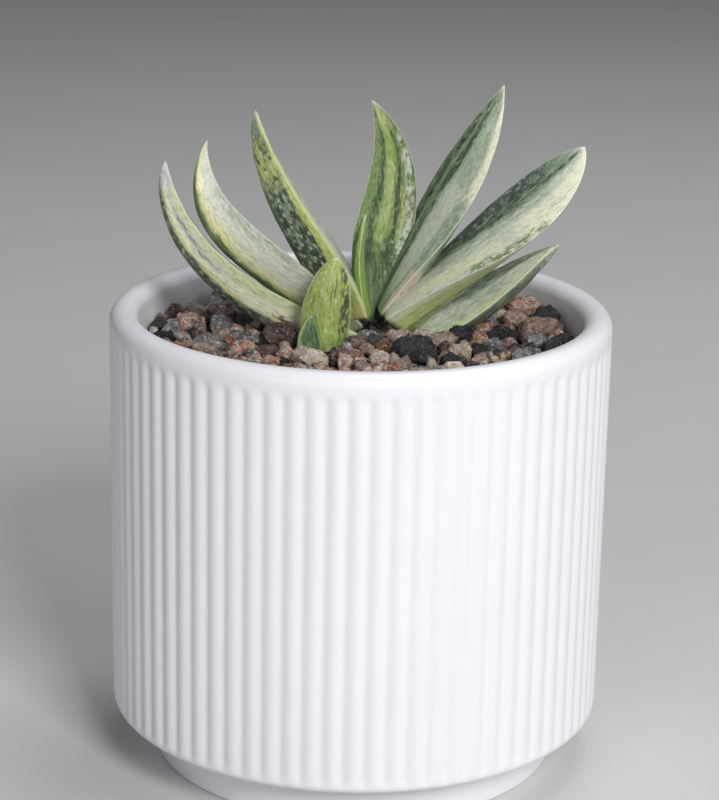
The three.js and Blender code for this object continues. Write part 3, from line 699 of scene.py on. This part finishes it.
def leafMaterial(name, leaf, seed):
    material, tree, shader = newMaterial(name, leafFinish["roughness"])
    skin = attribute(tree, "leafSkin")
    s, along, face = splitVector(tree, attribute(tree, "leafPlace"))
    edge = attribute(tree, "leafEdge", "Fac")
    upper = fade(tree, face, -0.25, 0.25)
    lower = calc(tree, "SUBTRACT", 1.0, upper)
    wander = grain(tree, stretch(tree, skin, (0.35, 0.09, 0.3)), 1.0, 3)
    ragged = grain(tree, stretch(tree, skin, (1.6, 0.5, 1.0)), 1.0, 3)
    shift = calc(tree, "MULTIPLY_ADD", calc(tree, "SUBTRACT", wander, 0.5), 0.34, s)
    shift = calc(tree, "MULTIPLY_ADD", calc(tree, "SUBTRACT", ragged, 0.5), 0.16, shift)
    slide = calc(tree, "MULTIPLY_ADD", calc(tree, "SUBTRACT", ragged, 0.5), 0.10, along)
    colour = blend(tree, upper, leaf["base"], leaf["upperBase"])
    for number, layer in enumerate(leaf["layers"]):
        tone, side, across, (start, end), soft, kind, strength = layer
        centred = calc(tree, "MULTIPLY_ADD", along, across[0] - across[-2], shift)
        mask = band(tree, centred, across[0], across[1], soft)
        mask = calc(tree, "MULTIPLY", mask, band(tree, slide, start, end, soft * 0.5))
        if side != "both":
            mask = calc(tree, "MULTIPLY", mask, upper if side == "upper" else lower)
        mask = calc(tree, "MULTIPLY", mask, leafTexture(tree, kind, skin, seed + number * 5.3))
        colour = blend(tree, calc(tree, "MULTIPLY", mask, strength), colour, tone)
    fine = grain(tree, stretch(tree, skin, (2.4, 0.5, 2.0)), 1.0, 4, 0.7)
    bloom = calc(tree, "MULTIPLY", fade(tree, fine, 0.35, 0.75), leafFinish["paleShare"])
    colour = blend(tree, bloom, colour, leafFinish["pale"])
    shade = calc(tree, "MULTIPLY", fade(tree, fine, 0.54, 0.34), leafFinish["darkShare"])
    colour = blend(tree, shade, colour, deepGreen)
    hornyEdge = fade(tree, edge, 0.34, 0.10)
    rim = calc(tree, "MULTIPLY", hornyEdge, leafFinish["edgeShare"])
    colour = blend(tree, rim, colour, leafFinish["edge"])
    spine = fade(tree, along, 0.97, 0.995)
    colour = blend(tree, calc(tree, "MULTIPLY", spine, leafFinish["spineShare"]), colour, leafFinish["spine"])
    feed(tree, shader.inputs["Base Color"], colour)
    shader.inputs["Subsurface Weight"].default_value = leafFinish["depthShare"]
    shader.inputs["Subsurface Radius"].default_value = leafFinish["depth"]
    shader.inputs["Specular IOR Level"].default_value = leafFinish["gloss"]
    rough = calc(tree, "MULTIPLY_ADD", fine, leafFinish["roughnessSpread"], leafFinish["roughness"])
    feed(tree, shader.inputs["Roughness"], rough)
    beads = fade(tree, cells(tree, stretch(tree, skin, (1, 0.85, 1)), 2.1), 0.30, 0.05)
    ridges = grain(tree, stretch(tree, skin, (1.0, 0.06, 0.6)), 1.0, 2)
    bump = lift(tree, ridges, leafFinish["ridgeDepth"], 0.5)
    bump = lift(tree, beads, leafFinish["beadDepth"], 0.45, bump)
    bump = lift(tree, fine, leafFinish["fineDepth"], 0.35, bump)
    feed(tree, shader.inputs["Normal"], bump)
    return material


def makeLeaves():
    for number, (name, leaf) in enumerate(leaves.items()):
        seed = 17.0 + number * 9.7
        form = leafMesh(leaf, seed)
        piece = finishPiece(form, "grown_" + name, leafMaterial(name + "_skin", leaf, seed))
        addSubdivision(piece)
        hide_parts(name)


makeLeaves()
print("leaves")


# Stones

# main, second and patch colours, then how much of the second and the patch
stoneTones = {
    "orange_lava": (paint(0.76, 0.50, 0.36), paint(0.56, 0.34, 0.25), paint(0.86, 0.79, 0.72), 0.5, 0.5),
    "brown_scoria": (paint(0.50, 0.38, 0.36), paint(0.32, 0.24, 0.23), paint(0.72, 0.62, 0.57), 0.5, 0.45),
    "black_lava": (paint(0.20, 0.20, 0.23), paint(0.10, 0.10, 0.12), paint(0.48, 0.49, 0.52), 0.5, 0.3),
    "pale_pumice": (paint(0.88, 0.81, 0.72), paint(0.74, 0.66, 0.57), paint(0.96, 0.94, 0.90), 0.4, 0.4),
    "tan_pumice": (paint(0.72, 0.60, 0.53), paint(0.56, 0.45, 0.40), paint(0.86, 0.79, 0.73), 0.5, 0.45),
    "grey_pumice": (paint(0.60, 0.58, 0.59), paint(0.42, 0.41, 0.43), paint(0.86, 0.85, 0.84), 0.5, 0.45),
}


stoneFinish = {
    # the gap colour is painted shade: a near-black laid into the low parts of the fine bump
    "gap": paint(0.16, 0.13, 0.12), "gapShare": 0.62, "crystal": paint(0.86, 0.84, 0.81), "crystalShare": 0.4,
    # the pit colour is painted shade: a near-black laid into the pit hollows
    "pit": paint(0.09, 0.07, 0.07), "pitShadeShare": 0.75,
    "broadDepth": 0.0012, "fineDepth": 0.0006, "pitDepth": 0.0005,
}


def stoneMaterial(name, tones):
    main, second, patch, secondShare, patchShare = tones
    material, tree, shader = newMaterial(name, 0.8)
    place = objectPlace(tree)
    tint = attribute(tree, "stoneTint", "Fac")
    broad = grain(tree, place, 0.30, 4, 0.6)
    middle = grain(tree, stretch(tree, place, (1, 1, 1.4), (5, 9, 2)), 0.85, 6, 0.75)
    fine = grain(tree, place, 2.4, 5, 0.75)
    pits = cells(tree, place, 1.3)
    colour = blend(tree, fade(tree, broad, 0.62 - secondShare * 0.3, 0.72 - secondShare * 0.3), main, second)
    colour = blend(tree, fade(tree, middle, 0.70 - patchShare * 0.4, 0.78 - patchShare * 0.4), colour, patch)
    # painted shade: darkens the low parts of the fine bump, where the surface dips
    dark = fade(tree, fine, 0.50, 0.36)
    colour = blend(tree, calc(tree, "MULTIPLY", dark, stoneFinish["gapShare"]), colour, stoneFinish["gap"])
    crystals = fade(tree, grain(tree, place, 2.6, 4, 0.65), 0.58, 0.66)
    sparkle = calc(tree, "MULTIPLY", crystals, stoneFinish["crystalShare"])
    colour = blend(tree, sparkle, colour, stoneFinish["crystal"])
    # painted shade: the pit hollows, sunk by the pit bump below, are darkened to near black
    pitShadeMask = fade(tree, pits, 0.24, 0.10)
    colour = blend(tree, calc(tree, "MULTIPLY", pitShadeMask, stoneFinish["pitShadeShare"]), colour, stoneFinish["pit"])
    darker = tree.nodes.new("ShaderNodeHueSaturation")
    feed(tree, darker.inputs["Color"], colour)
    feed(tree, darker.inputs["Value"], calc(tree, "MULTIPLY_ADD", tint, 0.85, 0.55))
    feed(tree, darker.inputs["Saturation"], calc(tree, "MULTIPLY_ADD", tint, -0.5, 1.15))
    feed(tree, shader.inputs["Base Color"], darker.outputs[0])
    bump = lift(tree, middle, stoneFinish["broadDepth"], 0.9)
    bump = lift(tree, fine, stoneFinish["fineDepth"], 0.9, bump)
    bump = lift(tree, fade(tree, pits, 0.08, 0.30), stoneFinish["pitDepth"], 0.8, bump)
    feed(tree, shader.inputs["Normal"], bump)
    return material


stoneMaterials = {name: stoneMaterial(name, tones) for name, tones in stoneTones.items()}
slotOf = {entry["node"]: entry["material_slot"] for entry in frame["record"]["subparts"]}

heroForm = {"cuts": 8, "rounding": 2, "lump": 0.5, "grit": 0.4, "crumb": 0.2, "pit": 0.35}


def roughen(form, seed):
    # chips and pits: each point moves along its normal by a few sizes of noise
    form.normal_update()
    moved = []
    for vert in form.verts:
        spot = vert.co / mm + Vector((seed, seed * 0.7, 0))
        swell = noise.noise(spot * 0.4) * heroForm["lump"]
        swell += noise.noise(spot * 1.1) * heroForm["grit"]
        swell += noise.noise(spot * 2.3) * heroForm["crumb"]
        hole = max(0, noise.noise(spot * 0.9 + Vector((40, 0, 0))) - 0.2) * heroForm["pit"] * 3
        moved.append((vert, vert.co + vert.normal * (swell - hole) * mm))
    for vert, point in moved:
        vert.co = point


def makeHeroStones():
    for number, name in enumerate(sorted(n for n in frame["nodes"] if n.startswith("stone_"))):
        form = bmesh.new()
        form.from_mesh(frame["nodes"][name].data)
        bmesh.ops.remove_doubles(form, verts=form.verts[:], dist=1e-6)
        bmesh.ops.subdivide_edges(form, edges=form.edges[:], cuts=heroForm["cuts"], use_grid_fill=True)
        for k in range(heroForm["rounding"]):
            bmesh.ops.smooth_vert(
                form, verts=form.verts[:], factor=0.5,
                use_axis_x=True, use_axis_y=True, use_axis_z=True)
        roughen(form, number * 13.0)
        tint = form.verts.layers.float.new("stoneTint")
        shade = random.Random(number).uniform(0.3, 0.75)
        for vert in form.verts:
            vert[tint] = shade
        bmesh.ops.recalc_face_normals(form, faces=form.faces[:])
        piece = finishPiece(form, "rough_" + name, stoneMaterials[slotOf[name]])
        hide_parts(name)


makeHeroStones()
print("large stones")


# Grit between and under the large stones

grit = {
    "count": 1250, "smallest": 1.5, "largest": 3.6, "floor": 99.2,
    "trials": 14, "wallRadius": 52.9, "sink": 0.80, "flat": 0.70, "corners": 18, "cell": 8.0,
    "crown": (3.5, 5.0), "heap": 3.2, "heapReach": 13.0, "clearance": 6.9,
    "rings": 9, "ripple": 0.8,
    "mix": {"orange_lava": 24, "brown_scoria": 19, "black_lava": 17,
            "pale_pumice": 11, "tan_pumice": 24, "grey_pumice": 18},
}


def bedLevel(x, y):
    # the grit lies a little higher at the back right, and is heaped against the crown
    away = math.hypot(x - grit["crown"][0], y - grit["crown"][1])
    heap = grit["heap"] * math.exp(-(away / grit["heapReach"]) ** 2)
    return grit["floor"] + 0.02 * (x + y) + heap


def obstacles():
    # leaves as rows of balls that the grit keeps clear of
    balls = []
    for leaf in leaves.values():
        for k in range(12):
            share = k / 24
            across, upper = leafAxes(leaf, share)[1:]
            centre = routePoint(leaf["route"], share) - upper * leafDepth(leaf, share) * 0.4
            half = leafHalfWidth(leaf, share)
            balls += [(centre + across * side * half, half * 0.42) for side in (-0.6, 0, 0.6)]
    return balls


def largeStoneBalls():
    balls = []
    for name in frame["nodes"]:
        if name.startswith("stone_"):
            low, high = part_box(name)
            size = (high - low) / mm
            balls.append(((low + high) / 2 / mm, (size.x + size.y + size.z) / 6 * 0.9))
    return balls


def restingLevel(x, y, radius, near):
    level = bedLevel(x, y) + radius * 0.4
    for spot, other in near:
        reach = (radius + other) * grit["sink"]
        gapSquared = (spot.x - x) ** 2 + (spot.y - y) ** 2
        if gapSquared < reach * reach:
            level = max(level, spot.z + math.sqrt(reach * reach - gapSquared) * grit["flat"])
    return level


def neighbours(cellsOf, x, y):
    column, row = int(x // grit["cell"]), int(y // grit["cell"])
    near = []
    for i in (-1, 0, 1):
        for j in (-1, 0, 1):
            near += cellsOf.get((column + i, row + j), [])
    return near


def pourGrit():
    # each stone takes the lowest of a few trial places, as it would after a shake
    chance = random.Random(71)
    fixed = obstacles()
    large = largeStoneBalls()
    cellsOf = {}
    placed = []
    for number in range(grit["count"]):
        share = number / grit["count"]
        radius = chance.uniform(grit["smallest"], grit["largest"]) * (1 - 0.15 * share)
        best = None
        for trial in range(grit["trials"]):
            away = (grit["wallRadius"] - radius) * math.sqrt(chance.random())
            angle = chance.random() * math.tau
            x = away * math.cos(angle)
            y = away * math.sin(angle)
            level = restingLevel(x, y, radius, neighbours(cellsOf, x, y))
            if best and level >= best.z:
                continue
            spot = Vector((x, y, level))
            blocked = any((spot - ball).length < (radius + size) * 0.78 for ball, size in large)
            blocked = blocked or any((spot - ball).length < radius * 0.6 + size for ball, size in fixed)
            if not blocked:
                best = spot
        if best and best.z + radius * 0.7 < bedLevel(best.x, best.y) + grit["clearance"]:
            placed.append((best, radius))
            key = (int(best.x // grit["cell"]), int(best.y // grit["cell"]))
            cellsOf.setdefault(key, []).append((best, radius))
    return placed


def addGritStone(form, tint, spot, radius, chance):
    # a crushed chip: the hull of a few points spread round a ball
    points = []
    for corner in range(grit["corners"]):
        level = 1 - (2 * corner + 1) / grit["corners"]
        angle = corner * 2.4 + chance.random() * 0.9
        around = math.sqrt(1 - level * level)
        reach = radius * chance.uniform(0.68, 1.08)
        points.append(Vector((math.cos(angle) * around, math.sin(angle) * around, level)) * reach * mm)
    verts = [form.verts.new(point) for point in points]
    hull = bmesh.ops.convex_hull(form, input=verts, use_existing_faces=False)
    bmesh.ops.delete(form, geom=hull["geom_interior"], context="VERTS")
    made = [vert for vert in verts if vert.is_valid]
    scale = Vector((chance.uniform(0.95, 1.35), chance.uniform(0.75, 1.1), chance.uniform(0.7, 1.0)))
    bmesh.ops.scale(form, vec=scale, verts=made)
    turn = Euler((chance.uniform(-1, 1), chance.uniform(-1, 1), chance.random() * math.tau))
    bmesh.ops.rotate(form, cent=(0, 0, 0), matrix=turn.to_matrix(), verts=made)
    bmesh.ops.translate(form, vec=spot * mm, verts=made)
    shade = chance.uniform(0.1, 1.0)
    for vert in made:
        vert[tint] = shade


def makeGrit():
    chance = random.Random(29)
    placed = pourGrit()
    kinds = list(grit["mix"])
    lots = {kind: bmesh.new() for kind in kinds}
    tints = {kind: lots[kind].verts.layers.float.new("stoneTint") for kind in kinds}
    for spot, radius in placed:
        kind = chance.choices(kinds, weights=[grit["mix"][k] for k in kinds])[0]
        addGritStone(lots[kind], tints[kind], spot, radius, chance)
    for kind in kinds:
        bmesh.ops.recalc_face_normals(lots[kind], faces=lots[kind].faces[:])
        piece = finishPiece(lots[kind], "grit_" + kind, stoneMaterials[kind], smooth=False)
        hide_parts("gravel_bed")
    print("grit stones:", len(placed))


def fineGritMaterial():
    material, tree, shader = newMaterial("fineGrit", 0.95)
    place = objectPlace(tree)
    crumbs = cells(tree, place, 1.1)
    fine = grain(tree, place, 2.5, 4, 0.7)
    colour = blend(tree, fine, paint(0.10, 0.08, 0.07), paint(0.32, 0.25, 0.21))
    feed(tree, shader.inputs["Base Color"], colour)
    bump = lift(tree, crumbs, 0.0009, 0.9)
    feed(tree, shader.inputs["Normal"], lift(tree, fine, 0.0004, 0.7, bump))
    return material


def makeGritBed():
    # the dark fines that show between the stones, over the soil
    form = bmesh.new()
    low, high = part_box("gravel_bed")
    radius = high.x
    bmesh.ops.create_circle(form, cap_ends=True, segments=48, radius=radius)
    bmesh.ops.translate(form, vec=(0, 0, low.z), verts=form.verts[:])
    top = bmesh.ops.extrude_face_region(form, geom=form.faces[:])["geom"]
    verts = [item for item in top if isinstance(item, bmesh.types.BMVert)]
    bmesh.ops.translate(form, vec=(0, 0, bedLevel(0, 0) * mm - low.z), verts=verts)
    cap = [item for item in top if isinstance(item, bmesh.types.BMFace)]
    for k in range(grit["rings"]):
        bmesh.ops.inset_region(form, faces=cap, thickness=radius / (grit["rings"] + 1))
    bmesh.ops.recalc_face_normals(form, faces=form.faces[:])
    for vert in form.verts:
        if vert.co.z > low.z + 1e-5 and math.hypot(vert.co.x, vert.co.y) < radius * 0.98:
            vert.co.z += noise.noise(vert.co / mm * 0.5) * grit["ripple"] * mm
    piece = finishPiece(form, "fine_grit", fineGritMaterial())
    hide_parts("gravel_bed")


makeGritBed()
makeGrit()
print("grit")


# Soil, stem and roots keep their own shape

def soilMaterial():
    material, tree, shader = newMaterial("pottingSoil", 0.98)
    place = objectPlace(tree)
    crumbs = grain(tree, place, 0.7, 6, 0.75)
    fibres = grain(tree, stretch(tree, place, (2.4, 0.4, 1.2)), 1.0, 3)
    colour = blend(tree, crumbs, paint(0.12, 0.09, 0.07), paint(0.26, 0.20, 0.15))
    colour = blend(tree, fade(tree, fibres, 0.62, 0.7), colour, paint(0.42, 0.33, 0.24))
    feed(tree, shader.inputs["Base Color"], colour)
    feed(tree, shader.inputs["Normal"], lift(tree, crumbs, 0.0012, 0.9))
    return material


def stemMaterial():
    material, tree, shader = newMaterial("stemAndRoots", 0.7)
    place = objectPlace(tree)
    rings = grain(tree, stretch(tree, place, (0.2, 0.2, 1.6)), 1.0, 3)
    colour = blend(tree, rings, paint(0.62, 0.55, 0.42), paint(0.80, 0.76, 0.60))
    feed(tree, shader.inputs["Base Color"], colour)
    feed(tree, shader.inputs["Normal"], lift(tree, rings, 0.0004, 0.7))
    return material


def finishNode(node, material):
    for slot in frame["nodes"][node].material_slots:
        slot.material = material


finishNode("potting_soil", soilMaterial())
finishNode("stem_and_roots", stemMaterial())
print("soil and stem")
